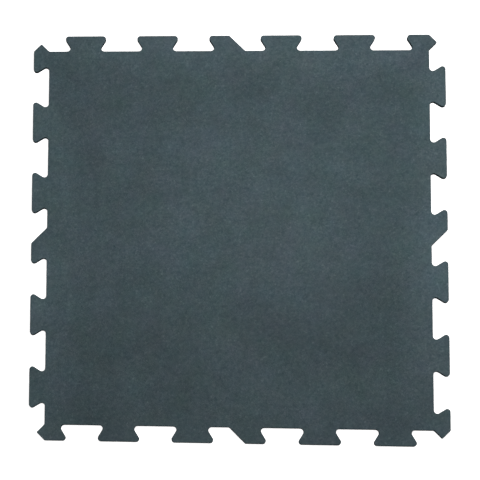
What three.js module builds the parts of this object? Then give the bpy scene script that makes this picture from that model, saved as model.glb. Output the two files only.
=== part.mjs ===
import * as THREE from 'three';

// Interlocking rubber gym floor tile, one moulded slab lying on its back.
// Millimetres, +Z up. Origin: centre of the tile on its flat underside.
// +X and +Y run along the sides of the square grid that the tile is laid on.

const PITCH = 500;            // grid size: what one laid tile covers, each way
const THICKNESS = 10;         // underside to wear face
const TAB_HALF = 10;          // how far tabs stand out of, and notches cut into, the grid line
const FLANK_STEP = 45.9;      // flank to flank along a side, on the grid line
const FIRST_FLANK = 32.4;     // middle of a side to its first flank, on the grid line
const FLANK_ANGLE = 32;       // lean of a dovetail flank from square, degrees
const DIAGONAL = 10;          // half length along the side of the 45 degree step at mid-side and at the corners
const R_DOVETAIL = 4.0;       // rounding where a flank meets a tab end or a notch floor
const R_DIAGONAL = 3.2;       // rounding of the blunt corners of the 45 degree steps
const R_CORNER = 1.2;         // rounding of the square point where four tiles meet
const EDGE_BREAK = 0.8;       // eased edge all round the wear face
const SLATE = 0x435054;

const LEAN = TAB_HALF * Math.tan(THREE.MathUtils.degToRad(FLANK_ANGLE));
const HALF = PITCH / 2;

// One side, left to right, as [along, out, radius]. Out is measured from the grid line. The profile is
// turned end for end by half a turn about the side's middle, so any side locks into any other side.
function sideProfile() {
  const leftFlank = (at) => [[at + LEAN, -TAB_HALF, R_DOVETAIL], [at - LEAN, TAB_HALF, R_DOVETAIL]];
  const rightFlank = (at) => [[at + LEAN, TAB_HALF, R_DOVETAIL], [at - LEAN, -TAB_HALF, R_DOVETAIL]];
  const flank = [0, 1, 2, 3, 4].map((i) => FIRST_FLANK + i * FLANK_STEP);
  return [
    [-HALF, 0, R_CORNER],
    [-HALF + DIAGONAL, -TAB_HALF, R_DIAGONAL],
    ...leftFlank(-flank[4]), ...rightFlank(-flank[3]),
    ...leftFlank(-flank[2]), ...rightFlank(-flank[1]),
    ...leftFlank(-flank[0]),
    [-DIAGONAL, TAB_HALF, R_DIAGONAL],
    [DIAGONAL, -TAB_HALF, R_DIAGONAL],
    ...leftFlank(flank[0]), ...rightFlank(flank[1]),
    ...leftFlank(flank[2]), ...rightFlank(flank[3]),
    ...leftFlank(flank[4]),
    [HALF - DIAGONAL, TAB_HALF, R_DIAGONAL],
  ];
}

// The whole outline with square corners, clockwise seen from above: the side profile at each quarter turn.
function sharpOutline() {
  const corners = [];
  for (let quarter = 0; quarter < 4; quarter++) {
    for (const [along, out, radius] of sideProfile()) {
      let x = along;
      let y = HALF + out;
      for (let k = 0; k < quarter; k++) [x, y] = [y, -x];
      corners.push({ x, y, radius });
    }
  }
  return corners;
}

// The rounded outline, moved in by inset. Every inset gives the same number of points in the same order.
function roundedOutline(inset) {
  const sharp = sharpOutline();
  const n = sharp.length;
  const direction = (a, b) => new THREE.Vector2(b.x - a.x, b.y - a.y).normalize();
  const moved = sharp.map((corner, i) => {
    const before = direction(sharp[(i + n - 1) % n], corner);
    const after = direction(corner, sharp[(i + 1) % n]);
    const normalBefore = new THREE.Vector2(before.y, -before.x);
    const normalAfter = new THREE.Vector2(after.y, -after.x);
    const k = inset / (1 + normalBefore.dot(normalAfter));
    const turn = before.x * after.y - before.y * after.x;       // negative at an outward corner
    return {
      x: corner.x + (normalBefore.x + normalAfter.x) * k,
      y: corner.y + (normalBefore.y + normalAfter.y) * k,
      before, after, turn,
      radius: corner.radius + (turn < 0 ? -inset : inset),
    };
  });
  const points = [];
  for (const corner of moved) {
    const sweep = Math.acos(THREE.MathUtils.clamp(corner.before.dot(corner.after), -1, 1));
    const reach = corner.radius * Math.tan(sweep / 2);
    const start = new THREE.Vector2(corner.x - corner.before.x * reach, corner.y - corner.before.y * reach);
    const side = corner.turn < 0 ? 1 : -1;
    const centre = new THREE.Vector2(
      start.x + side * corner.before.y * corner.radius,
      start.y - side * corner.before.x * corner.radius);
    const steps = Math.max(3, Math.round(sweep / THREE.MathUtils.degToRad(20)));
    for (let k = 0; k <= steps; k++) {
      const angle = -side * sweep * (k / steps);
      const point = start.clone().rotateAround(centre, angle);
      points.push(point);
    }
  }
  return points;
}

function tileGeometry() {
  const outer = roundedOutline(0);
  const eased = roundedOutline(EDGE_BREAK);
  const geometry = new THREE.ExtrudeGeometry(new THREE.Shape(outer), {
    depth: THICKNESS, steps: 2, bevelEnabled: false,
  });
  // The middle ring goes up to the foot of the eased edge, and the top ring goes in by as much.
  const key = (x, y) => `${Math.fround(x)},${Math.fround(y)}`;
  const inner = new Map(outer.map((point, i) => [key(point.x, point.y), eased[i]]));
  const position = geometry.getAttribute('position');
  for (let i = 0; i < position.count; i++) {
    const z = position.getZ(i);
    if (z > THICKNESS * 0.75) {
      const to = inner.get(key(position.getX(i), position.getY(i)));
      position.setXYZ(i, to.x, to.y, THICKNESS);
    } else if (z > THICKNESS * 0.25) {
      position.setZ(i, THICKNESS - EDGE_BREAK);
    }
  }
  geometry.computeVertexNormals();
  return geometry;
}

const group = new THREE.Group();

const rubberTile = new THREE.Mesh(
  tileGeometry(),
  new THREE.MeshStandardMaterial({ color: SLATE, roughness: 0.9, metalness: 0 }),
);
rubberTile.name = 'rubber_tile';
group.add(rubberTile);

export default group;
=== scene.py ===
import math

import bpy
import numpy as np
from mathutils import Matrix, Vector
from mathutils.geometry import delaunay_2d_cdt


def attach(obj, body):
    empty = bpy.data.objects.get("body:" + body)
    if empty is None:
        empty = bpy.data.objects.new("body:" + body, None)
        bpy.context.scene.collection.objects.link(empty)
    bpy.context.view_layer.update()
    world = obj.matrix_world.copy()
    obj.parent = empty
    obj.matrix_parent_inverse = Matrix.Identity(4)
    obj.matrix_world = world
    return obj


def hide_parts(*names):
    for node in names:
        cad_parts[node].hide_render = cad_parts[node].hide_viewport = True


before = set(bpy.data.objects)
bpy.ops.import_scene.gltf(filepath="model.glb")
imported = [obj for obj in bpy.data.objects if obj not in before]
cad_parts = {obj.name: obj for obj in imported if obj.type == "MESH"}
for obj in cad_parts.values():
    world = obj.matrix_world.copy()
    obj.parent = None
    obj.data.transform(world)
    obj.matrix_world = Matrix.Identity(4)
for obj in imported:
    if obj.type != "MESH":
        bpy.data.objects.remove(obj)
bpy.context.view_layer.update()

# ---------------------------------------------------------------- sizes, in metres
MM = 0.001
PITCH, THICKNESS = 500 * MM, 10 * MM
TAB_HALF = 10 * MM
FLANK_STEP, FIRST_FLANK = 45.9 * MM, 32.4 * MM
FLANK_ANGLE = math.radians(32)
DIAGONAL = 10 * MM
R_DOVETAIL, R_DIAGONAL, R_CORNER = 4.0 * MM, 3.2 * MM, 1.2 * MM
LEAN = TAB_HALF * math.tan(FLANK_ANGLE)
HALF = PITCH / 2
EDGE_ROUND = 1.0 * MM          # rounding of the wear face's edge
FOOT_ROUND = 0.4 * MM          # rounding of the underside's edge
RIM_STEP = 2.0 * MM            # spacing of points along straight stretches of the outline
FACE_STEP = 2.3 * MM           # spacing of points over the wear face
BACK_STEP = 7.0 * MM           # spacing of points over the underside


# ---------------------------------------------------------------- camera
def make_camera():
    cam = bpy.data.objects.new("camera", bpy.data.cameras.new("camera"))
    bpy.context.scene.collection.objects.link(cam)
    cam.data.sensor_fit = "AUTO"
    cam.data.sensor_width = 36.0
    cam.data.lens = 176.084
    cam.data.shift_x, cam.data.shift_y = 0.74251, -0.10395      # the photo is a crop of a wider one
    cam.data.dof.use_dof = False
    rows = ((0.991435, -0.003284, 0.130563), (0.024956, 0.986027, -0.164707), (-0.128198, 0.166554, 0.977663))
    turn = Matrix(rows).to_quaternion().to_matrix().to_4x4()
    cam.matrix_world = Matrix.Translation((-0.0558, -0.44106, 2.97058)) @ turn
    cam.data.clip_start, cam.data.clip_end = 0.05, 200.0
    bpy.context.scene.camera = cam
    return cam


# ---------------------------------------------------------------- the outline
def side_profile():
    left = lambda at: [(at + LEAN, -TAB_HALF, R_DOVETAIL), (at - LEAN, TAB_HALF, R_DOVETAIL)]
    right = lambda at: [(at + LEAN, TAB_HALF, R_DOVETAIL), (at - LEAN, -TAB_HALF, R_DOVETAIL)]
    f = [FIRST_FLANK + i * FLANK_STEP for i in range(5)]
    return ([(-HALF, 0.0, R_CORNER), (-HALF + DIAGONAL, -TAB_HALF, R_DIAGONAL)]
            + left(-f[4]) + right(-f[3]) + left(-f[2]) + right(-f[1]) + left(-f[0])
            + [(-DIAGONAL, TAB_HALF, R_DIAGONAL), (DIAGONAL, -TAB_HALF, R_DIAGONAL)]
            + left(f[0]) + right(f[1]) + left(f[2]) + right(f[3]) + left(f[4])
            + [(HALF - DIAGONAL, TAB_HALF, R_DIAGONAL)])


def sharp_outline():
    out = []
    for quarter in range(4):
        for along, outward, radius in side_profile():
            x, y = along, HALF + outward
            for _ in range(quarter):
                x, y = y, -x
            out.append((x, y, radius))
    return np.array(out)


SHARP = sharp_outline()


def ring(inset):
    """The rounded outline moved in by inset, clockwise from above. Every inset gives the same points in the same order."""
    p, radius = SHARP[:, :2], SHARP[:, 2]
    after = np.roll(p, -1, 0) - p
    after /= np.linalg.norm(after, axis=1)[:, None]
    before = np.roll(after, 1, 0)
    nb = np.stack([before[:, 1], -before[:, 0]], 1)
    na = np.stack([after[:, 1], -after[:, 0]], 1)
    turn = before[:, 0] * after[:, 1] - before[:, 1] * after[:, 0]
    q = p + (nb + na) * (inset / (1 + (nb * na).sum(1)))[:, None]
    r = radius + np.where(turn < 0, -inset, inset)
    sweep = np.arccos(np.clip((before * after).sum(1), -1, 1))
    reach = r * np.tan(sweep / 2)
    side = np.where(turn < 0, 1.0, -1.0)
    pts = []
    for i in range(len(q)):
        start = q[i] - before[i] * reach[i]
        centre = start + side[i] * np.array([before[i, 1], -before[i, 0]]) * r[i]
        n = 8 if sweep[i] > 1.8 else 4
        a = -side[i] * sweep[i] * np.arange(n + 1) / n
        d = start - centre
        arc = np.stack([centre[0] + d[0] * np.cos(a) - d[1] * np.sin(a), centre[1] + d[0] * np.sin(a) + d[1] * np.cos(a)], 1)
        pts.append(arc)
        j = (i + 1) % len(q)
        plain = np.linalg.norm(p[j] - p[i]) - radius[i] * math.tan(sweep[i] / 2) - radius[j] * math.tan(sweep[j] / 2)
        m = max(1, round(plain / RIM_STEP))
        end = q[j] - before[j] * reach[j]
        t = (np.arange(1, m) / m)[:, None]
        pts.append(arc[-1] + (end - arc[-1]) * t)
    return np.concatenate(pts)


# ---------------------------------------------------------------- seeded smooth noise
class Noise:
    def __init__(self, seed):
        self.grid = np.random.default_rng(seed).uniform(-1, 1, (256, 256))

    def __call__(self, x, y, cell):
        u, v = x / cell + 1000.37, y / cell + 1000.71
        i, j = np.floor(u).astype(int), np.floor(v).astype(int)
        a, b = u - i, v - j
        a, b = a * a * a * (a * (a * 6 - 15) + 10), b * b * b * (b * (b * 6 - 15) + 10)
        g = lambda p, q: self.grid[p % 256, q % 256]
        return ((g(i, j) * (1 - a) + g(i + 1, j) * a) * (1 - b) + (g(i, j + 1) * (1 - a) + g(i + 1, j + 1) * a) * b)


N1, N2, N3, N4 = (Noise(s) for s in (11, 23, 37, 53))


def face_relief(x, y):
    """How far the wear face lies under its highest level."""
    h = 0.045 * N1(x, y, 4.6 * MM) + 0.03 * N2(x, y, 9 * MM) + 0.06 * N3(x, y, 34 * MM) + 0.05 * N4(x, y, 90 * MM)
    return np.clip(0.14 + h, 0.0, 0.4) * MM


def wall_relief(s, z):
    """How far the side wall lies inside the outline: torn crumb pits over a slight waviness."""
    h = 0.07 * N2(s, z, 3.0 * MM) + 0.05 * N4(s + 1.0, z * 1.3, 6.5 * MM) + 0.04 * N3(s, z * 0.3, 30 * MM)
    pits = np.clip(N1(s, z + 0.5, 3.6 * MM) - 0.45, 0, 1) * 0.4
    return np.clip(0.11 + h + pits, 0.0, 0.45) * MM


# ---------------------------------------------------------------- the tile's mesh
def inside(poly, pts):
    ax, ay = poly[:, 0], poly[:, 1]
    bx, by = np.roll(ax, -1), np.roll(ay, -1)
    out = np.zeros(len(pts), bool)
    for k in range(0, len(pts), 2000):
        x, y = pts[k:k + 2000, 0:1], pts[k:k + 2000, 1:2]
        cross = (ay[None] > y) != (by[None] > y)
        xi = ax[None] + (y - ay[None]) * ((bx - ax) / np.where(by == ay, 1e-12, by - ay))[None]
        out[k:k + 2000] = ((x < xi) & cross).sum(1) % 2 == 1
    return out


def clear_of(poly, pts, gap):
    keep = np.ones(len(pts), bool)
    for k in range(0, len(pts), 2000):
        d = pts[k:k + 2000, None, :] - poly[None]
        keep[k:k + 2000] = (d * d).sum(2).min(1) > gap * gap
    return keep


def fill(rim, step, seed):
    """Triangles over the flat region inside rim: a plain grid in the middle and a fitted mesh out to the rim.
    Returns points, whose first len(rim) are the rim's, and triangles, counter-clockwise from above."""
    n = int(round(2 * (HALF - TAB_HALF - 3 * MM) / step))
    edge = n * step / 2
    line = np.linspace(-edge, edge, n + 1)
    gx, gy = np.meshgrid(line, line, indexing="ij")
    grid = np.stack([gx.ravel(), gy.ravel()], 1)
    at = lambda i, j: len(rim) + i * (n + 1) + j
    tris = []
    i, j = np.meshgrid(np.arange(n), np.arange(n), indexing="ij")
    a, b, c, d = at(i, j), at(i + 1, j), at(i + 1, j + 1), at(i, j + 1)
    flip = (i + j) % 2 == 0
    t1 = np.where(flip[..., None], np.stack([a, b, c], -1), np.stack([a, b, d], -1))
    t2 = np.where(flip[..., None], np.stack([a, c, d], -1), np.stack([b, c, d], -1))
    tris.append(t1.reshape(-1, 3)); tris.append(t2.reshape(-1, 3))
    # the band between the grid and the rim
    k = np.arange(n)
    loop = np.concatenate([at(k, 0 * k), at(0 * k + n, k), at(n - k, 0 * k + n), at(0 * k, n - k)])
    rng = np.random.default_rng(seed)
    m = int(2 * (HALF + TAB_HALF) / step) + 2
    fx, fy = np.meshgrid((np.arange(m) - m / 2 + 0.5) * step, (np.arange(m) - m / 2 + 0.5) * step, indexing="ij")
    free = np.stack([fx.ravel(), fy.ravel()], 1)
    free = free[np.abs(free).max(1) > edge + 0.45 * step]
    free = free + rng.uniform(-0.22, 0.22, free.shape) * step
    free = free[inside(rim, free)]
    free = free[clear_of(rim, free, 0.6 * step)]
    points = np.concatenate([rim, grid, free])
    used = np.concatenate([np.arange(len(rim)), loop, np.arange(len(rim) + len(grid), len(points))])
    back = {int(g): l for l, g in enumerate(used)}
    edges = [(l, (l + 1) % len(rim)) for l in range(len(rim))]
    edges += [(back[int(loop[q])], back[int(loop[(q + 1) % len(loop)])]) for q in range(len(loop))]
    verts, _, faces, orig, _, _ = delaunay_2d_cdt([Vector(p * 1000) for p in points[used]], edges, [], 1, 1e-6)
    if len(verts) != len(used):
        raise ValueError("the band's mesh has added or lost points")
    where = [used[o[0]] for o in orig]
    band = np.array([[where[v] for v in f] for f in faces if len(f) == 3])
    mid = points[band].mean(1)
    band = band[np.abs(mid).max(1) > edge]
    p, q, r = points[band[:, 0]], points[band[:, 1]], points[band[:, 2]]
    area = (q[:, 0] - p[:, 0]) * (r[:, 1] - p[:, 1]) - (q[:, 1] - p[:, 1]) * (r[:, 0] - p[:, 0])
    band = np.where((area < 0)[:, None], band[:, ::-1], band)
    return points, np.concatenate(tris + [band[np.abs(area) > 1e-13]])


def make_tile():
    base = ring(0.0)
    seg = np.linalg.norm(np.roll(base, -1, 0) - base, axis=1)
    s = np.concatenate([[0], np.cumsum(seg)[:-1]])
    n = len(base)
    rows = []                                     # (inset, height), from the underside up
    for k in range(3):
        a = math.pi / 2 * k / 3
        rows.append((FOOT_ROUND * (1 - math.sin(a)), FOOT_ROUND * (1 - math.cos(a))))
    for k in range(7):
        rows.append((0.0, FOOT_ROUND + (THICKNESS - EDGE_ROUND - FOOT_ROUND) * k / 7))
    for k in range(5):
        a = math.pi / 2 * k / 4
        rows.append((EDGE_ROUND * (1 - math.cos(a)), THICKNESS - EDGE_ROUND * (1 - math.sin(a))))
    # outward directions for the wall relief
    fwd = np.roll(base, -1, 0) - np.roll(base, 1, 0)
    fwd /= np.linalg.norm(fwd, axis=1)[:, None]
    inward = np.stack([fwd[:, 1], -fwd[:, 0]], 1)
    co = []
    for inset, z in rows:
        r = ring(inset)
        # the relief fades out on the rounded edges
        fade = min(1.0, max(0.0, (THICKNESS - z) / (1.6 * EDGE_ROUND)) ** 0.8, max(0.0, z / (2.5 * FOOT_ROUND)) ** 0.8)
        d = wall_relief(s, np.full(n, z)) * fade
        r = r + inward * d[:, None]
        drop = face_relief(r[:, 0], r[:, 1]) * max(0.0, 1 - (THICKNESS - z) / (2.0 * EDGE_ROUND))
        co.append(np.column_stack([r, z - drop]))
    walls = np.concatenate(co)
    faces = []
    m = np.arange(n)
    for k in range(len(rows) - 1):
        a, b = k * n + m, k * n + (m + 1) % n
        # clockwise outline: this order turns the faces outwards
        faces.append(np.stack([b, a, a + n, b + n], 1))
    quads = np.concatenate(faces)
    top_rim = ring(EDGE_ROUND)
    top, top_tri = fill(top_rim, FACE_STEP, 5)
    low_rim = ring(FOOT_ROUND)
    low, low_tri = fill(low_rim, BACK_STEP, 6)
    top_first, low_first = (len(rows) - 1) * n, 0
    top_extra = np.column_stack([top[n:], THICKNESS - face_relief(top[n:, 0], top[n:, 1])])
    low_extra = np.column_stack([low[n:], np.zeros(len(low) - n)])
    co = np.concatenate([walls, top_extra, low_extra])
    top_map = np.concatenate([top_first + m, len(walls) + np.arange(len(top) - n)])
    low_map = np.concatenate([low_first + m, len(walls) + len(top_extra) + np.arange(len(low) - n)])
    tri = np.concatenate([top_map[top_tri], low_map[low_tri][:, ::-1]])
    mesh = bpy.data.meshes.new("rubber_tile_surface")
    mesh.vertices.add(len(co))
    mesh.vertices.foreach_set("co", co.astype(np.float32).ravel())
    loops = np.concatenate([quads.ravel(), tri.ravel()]).astype(np.int32)
    start = np.concatenate([np.arange(len(quads)) * 4, len(quads) * 4 + np.arange(len(tri)) * 3]).astype(np.int32)
    mesh.loops.add(len(loops))
    mesh.loops.foreach_set("vertex_index", loops)
    mesh.polygons.add(len(start))
    mesh.polygons.foreach_set("loop_start", start)
    # slot 0 is the wear face with its rounded edge, slot 1 the side walls, slot 2 the underside
    slot = np.zeros(len(start), np.int32)
    slot[:11 * n] = 1
    slot[len(quads) + len(top_tri):] = 2
    mesh.polygons.foreach_set("material_index", slot)
    mesh.update(calc_edges=True)
    mesh.validate()
    mesh.shade_smooth()
    tile = bpy.data.objects.new("rubber_tile_surface", mesh)
    bpy.context.scene.collection.objects.link(tile)
    return tile


# ---------------------------------------------------------------- materials
class Nodes:
    def __init__(self, name):
        self.mat = bpy.data.materials.new(name)
        self.mat.use_nodes = True
        self.tree = self.mat.node_tree
        self.tree.nodes.clear()
        self.out = self.add("ShaderNodeOutputMaterial")
        self.bsdf = self.add("ShaderNodeBsdfPrincipled")
        self.link(self.bsdf.outputs[0], self.out.inputs[0])
        self.place = self.add("ShaderNodeTexCoord").outputs["Object"]

    def add(self, kind, **values):
        node = self.tree.nodes.new(kind)
        for k, v in values.items():
            setattr(node, k, v)
        return node

    def link(self, a, b):
        self.tree.links.new(a, b)

    def noise(self, scale, detail=2.0, rough=0.5, offset=0.0):
        at = self.place
        if offset:
            m = self.add("ShaderNodeVectorMath", operation="ADD")
            self.link(at, m.inputs[0]); m.inputs[1].default_value = (offset, offset * 0.7, offset * 0.3)
            at = m.outputs[0]
        node = self.add("ShaderNodeTexNoise")
        self.link(at, node.inputs["Vector"])
        node.inputs["Scale"].default_value = scale
        node.inputs["Detail"].default_value = detail
        node.inputs["Roughness"].default_value = rough
        return node.outputs[0]

    def cells(self, scale, feature="F1", output="Distance", rand=1.0):
        node = self.add("ShaderNodeTexVoronoi", feature=feature)
        self.link(self.place, node.inputs["Vector"])
        node.inputs["Scale"].default_value = scale
        node.inputs["Randomness"].default_value = rand
        return node.outputs[output]

    def span(self, value, a, b, c, d, kind="LINEAR"):
        node = self.add("ShaderNodeMapRange", interpolation_type=kind)
        self.link(value, node.inputs["Value"])
        for name, v in (("From Min", a), ("From Max", b), ("To Min", c), ("To Max", d)):
            node.inputs[name].default_value = v
        return node.outputs[0]

    def math(self, op, a, b=None, c=None):
        node = self.add("ShaderNodeMath", operation=op)
        for i, v in enumerate((a, b, c)):
            if v is None:
                continue
            if isinstance(v, (int, float)):
                node.inputs[i].default_value = v
            else:
                self.link(v, node.inputs[i])
        return node.outputs[0]

    def blend(self, factor, a, b, mode="MIX"):
        node = self.add("ShaderNodeMix", data_type="RGBA", blend_type=mode)
        for i, v in ((0, factor), (6, a), (7, b)):
            if isinstance(v, (int, float)):
                node.inputs[i].default_value = v
            elif isinstance(v, tuple):
                node.inputs[i].default_value = (*v, 1.0)
            else:
                self.link(v, node.inputs[i])
        return node.outputs[2]

    def bump(self, height, distance, strength, under=None):
        node = self.add("ShaderNodeBump")
        self.link(height, node.inputs["Height"])
        node.inputs["Distance"].default_value = distance
        node.inputs["Strength"].default_value = strength
        if under is not None:
            self.link(under, node.inputs["Normal"])
        return node.outputs[0]

    def painted_light_and_shade(self):
        """Painted light and shade on the laid side: paler margins on three sides and a paler middle as painted light,
        and a painted shadow darker towards -Y, with uneven borders."""
        at = self.add("ShaderNodeSeparateXYZ")
        self.link(self.place, at.inputs[0])
        x, y = at.outputs[0], at.outputs[1]
        stray = self.math("MULTIPLY_ADD", self.noise(11, 3.0, 0.6, 61.0), 0.07, -0.035)
        rim = self.math("ADD", self.math("MAXIMUM", self.math("ABSOLUTE", x), y), self.math("MULTIPLY", stray, 0.4))
        # painted light: the margins on three sides are paler
        painted_rim_light = self.span(rim, 0.185, 0.249, 1.0, 1.27, "SMOOTHSTEP")
        # painted shadow: darker towards -Y, its border bent on the left
        bend = self.math("MULTIPLY", self.math("MINIMUM", self.math("ADD", x, 0.14), 0.0), -0.92)
        low = self.math("ADD", self.math("ADD", y, bend), stray)
        painted_shadow = self.span(low, -0.105, -0.013, 0.857, 1.0, "SMOOTHSTEP")
        # painted light: a paler middle
        across = self.math("MULTIPLY", self.math("ABSOLUTE", self.math("ADD", x, -0.03)), 1 / 0.125)
        along = self.math("MULTIPLY", self.math("ABSOLUTE", self.math("ADD", y, -0.03)), 1 / 0.085)
        far = self.math("MULTIPLY_ADD", stray, 6.0, self.math("MAXIMUM", across, along))
        middle = self.span(far, 0.72, 1.12, 1.055, 1.0, "SMOOTHSTEP")
        return self.math("MULTIPLY", self.math("MULTIPLY", painted_rim_light, painted_shadow), middle)

    def scaled(self, colour, value):
        """colour times a value near 1, a little stronger in red and weaker in blue, which keeps the mottling grey"""
        node = self.add("ShaderNodeCombineColor")
        for i, k in enumerate((1.28, 1.0, 0.89)):
            self.link(self.math("MULTIPLY_ADD", value, k, 1 - k), node.inputs[i])
        return self.blend(1.0, colour, node.outputs[0], "MULTIPLY")

    def about_one(self, value, amount):
        """1 plus the value's distance from a half, times amount, which may be a number or a socket"""
        return self.math("MULTIPLY_ADD", self.math("SUBTRACT", value, 0.5), amount, 1.0)


def rubber(name, tone, coarse, seed, worn, with_painted_light_and_shade, painted_contact_shadow=1.0, gloss=0.35):
    """Moulded crumb rubber: fused granules of 1 to 3 mm with hair-thin gaps, mottled, matt."""
    n = Nodes(name)
    # slate grey that drifts in patches between teal, blue and a warmer grey
    tint = n.add("ShaderNodeCombineColor")
    first, second = n.noise(24, 4.0, 0.74, seed), n.noise(19, 4.0, 0.74, seed + 9.1)
    both = n.math("MULTIPLY_ADD", first, 0.4, n.math("MULTIPLY", second, 0.6))
    n.link(n.span(first, 0.32, 0.68, 0.0432 * tone, 0.0524 * tone), tint.inputs[0])
    tint.inputs[1].default_value = 0.0733 * tone
    n.link(n.span(both, 0.37, 0.63, 0.0775 * tone, 0.0882 * tone), tint.inputs[2])
    colour = tint.outputs[0]
    # soft clouds, then patches, then mottling, then single granules
    cloud = n.span(n.noise(12, 2.0, 0.5, seed + 1.3), 0.25, 0.75, 0.90, 1.10)
    patch = n.span(n.noise(42, 2.0, 0.55, seed + 1.9), 0.25, 0.75, 0.91, 1.09)
    mottle = n.about_one(n.noise(150, 3.0, 0.70, seed + 2.1), 0.68)
    crisp = n.span(n.noise(55, 2.0, 0.6, seed + 2.9), 0.36, 0.64, coarse * 2.5, coarse * 10.0)
    crumb = n.about_one(n.noise(400, 3.0, 0.65, seed + 3.7), crisp)
    value = n.math("MULTIPLY", mottle, crumb)
    # each granule has its own tone
    own = n.add("ShaderNodeTexVoronoi", feature="F1")
    n.link(n.place, own.inputs["Vector"])
    own.inputs["Scale"].default_value = 480
    split = n.add("ShaderNodeSeparateColor")
    n.link(own.outputs["Color"], split.inputs[0])
    grain = n.span(split.outputs[0], 0.0, 1.0, 1 - coarse, 1 + coarse)
    value = n.math("MULTIPLY", value, grain)
    # the thin gaps between granules are darker
    gap = n.cells(480, "DISTANCE_TO_EDGE")
    seam = n.span(gap, 0.0, 0.10, 1 - coarse * 1.6, 1.0, "SMOOTHSTEP")
    value = n.math("MULTIPLY", value, seam)
    # worn granule tops are a little paler
    top = n.span(split.outputs[1], 0.93, 1.0, 1.0, 1.0 + worn)
    value = n.math("MULTIPLY", value, top)
    # a few granules sit lower and look darker
    low = n.span(split.outputs[2], 0.0, 0.06, 1.0 - worn * 0.6, 1.0)
    value = n.math("MULTIPLY", value, low)
    broad = n.math("MULTIPLY", cloud, patch)
    # painted light and shade: paler margins and middle, and a painted shadow towards -Y
    if with_painted_light_and_shade:
        broad = n.math("MULTIPLY", broad, n.painted_light_and_shade())
    if painted_contact_shadow != 1.0:
        # painted contact shadow: the side wall is darker towards the floor
        height = n.add("ShaderNodeSeparateXYZ")
        n.link(n.place, height.inputs[0])
        uneven = n.math("MULTIPLY_ADD", n.noise(70, 3.0, 0.6, seed + 8.0), 0.004, height.outputs[2])
        broad = n.math("MULTIPLY", broad, n.span(uneven, 0.001, 0.009, painted_contact_shadow, 1.0, "SMOOTHSTEP"))
    grey = n.add("ShaderNodeCombineColor")
    for i in range(3):
        n.link(broad, grey.inputs[i])
    n.link(n.blend(1.0, n.scaled(colour, value), grey.outputs[0], "MULTIPLY"), n.bsdf.inputs["Base Color"])
    rough = n.span(n.noise(240, 3.0, 0.6, seed + 5.0), 0.3, 0.7, 0.80, 0.93)
    n.link(rough, n.bsdf.inputs["Roughness"])
    n.bsdf.inputs["Specular IOR Level"].default_value = gloss
    pits = n.bump(n.span(gap, 0.0, 0.22, 0.0, 1.0, "SMOOTHSTEP"), 0.00012, 0.5)
    fine = n.bump(n.noise(1400, 3.0, 0.7, seed + 6.0), 0.00008, 0.5, pits)
    wave = n.bump(n.noise(260, 2.0, 0.5, seed + 7.0), 0.00035, 0.45, fine)
    n.link(wave, n.bsdf.inputs["Normal"])
    return n.mat


# ---------------------------------------------------------------- stage
def make_floor():
    mesh = bpy.data.meshes.new("studio_floor")
    s = 30.0
    mesh.from_pydata([(-s, -s, 0), (s, -s, 0), (s, s, 0), (-s, s, 0)], [], [(0, 1, 2, 3)])
    floor = bpy.data.objects.new("studio_floor", mesh)
    bpy.context.scene.collection.objects.link(floor)
    floor.location.z = -0.0002
    n = Nodes("studio_floor")
    n.link(n.blend(n.noise(3, 2.0), (0.86, 0.86, 0.86), (0.88, 0.88, 0.88)), n.bsdf.inputs["Base Color"])
    n.bsdf.inputs["Roughness"].default_value = 0.9
    n.bsdf.inputs["Specular IOR Level"].default_value = 0.1
    n.bsdf.inputs["Emission Color"].default_value = (1.0, 1.0, 1.0, 1.0)
    n.bsdf.inputs["Emission Strength"].default_value = 0.97
    floor.data.materials.append(n.mat)
    floor.visible_diffuse = False
    floor.visible_glossy = False
    return floor


def area(name, place, aim, size, watts, colour=(1, 1, 1)):
    data = bpy.data.lights.new(name, "AREA")
    data.shape = "DISK"
    data.size = size
    data.energy = watts
    data.color = colour
    lamp = bpy.data.objects.new(name, data)
    bpy.context.scene.collection.objects.link(lamp)
    lamp.location = place
    lamp.rotation_mode = "QUATERNION"
    lamp.rotation_quaternion = (Vector(aim) - Vector(place)).to_track_quat("-Z", "Y")
    lamp.visible_camera = False
    return lamp


def make_light():
    scene = bpy.context.scene
    world = bpy.data.worlds.new("studio")
    scene.world = world
    world.use_nodes = True
    t = world.node_tree
    t.nodes.clear()
    out = t.nodes.new("ShaderNodeOutputWorld")
    back = t.nodes.new("ShaderNodeBackground")
    back.inputs[0].default_value = (1, 1, 1, 1)
    back.inputs[1].default_value = 0.071
    t.links.new(back.outputs[0], out.inputs[0])
    area("key", (0.115, 0.105, 0.86), (0.045, 0.035, 0.0), 0.6, 7.98)
    area("front_fill", (-0.05, -0.62, 0.16), (0.0, -0.2, 0.0), 0.5, 0.55)
    scene.view_settings.view_transform = "Standard"
    scene.view_settings.look = "None"
    scene.view_settings.exposure = 0.0
    scene.view_settings.gamma = 1.0


# ---------------------------------------------------------------- put together
make_camera()
tile = make_tile()
# the face and the wall carry painted light and shade; the wall also carries a painted contact shadow towards the floor
tile.data.materials.append(rubber("rubber_face", 1.0, 0.10, 0.0, 0.22, True))
tile.data.materials.append(rubber("rubber_wall", 0.80, 0.17, 20.0, 0.30, True, 0.62, 0.06))
tile.data.materials.append(rubber("rubber_back", 0.95, 0.07, 40.0, 0.30, False))
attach(tile, "root")
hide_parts("rubber_tile")
make_floor()
make_light()
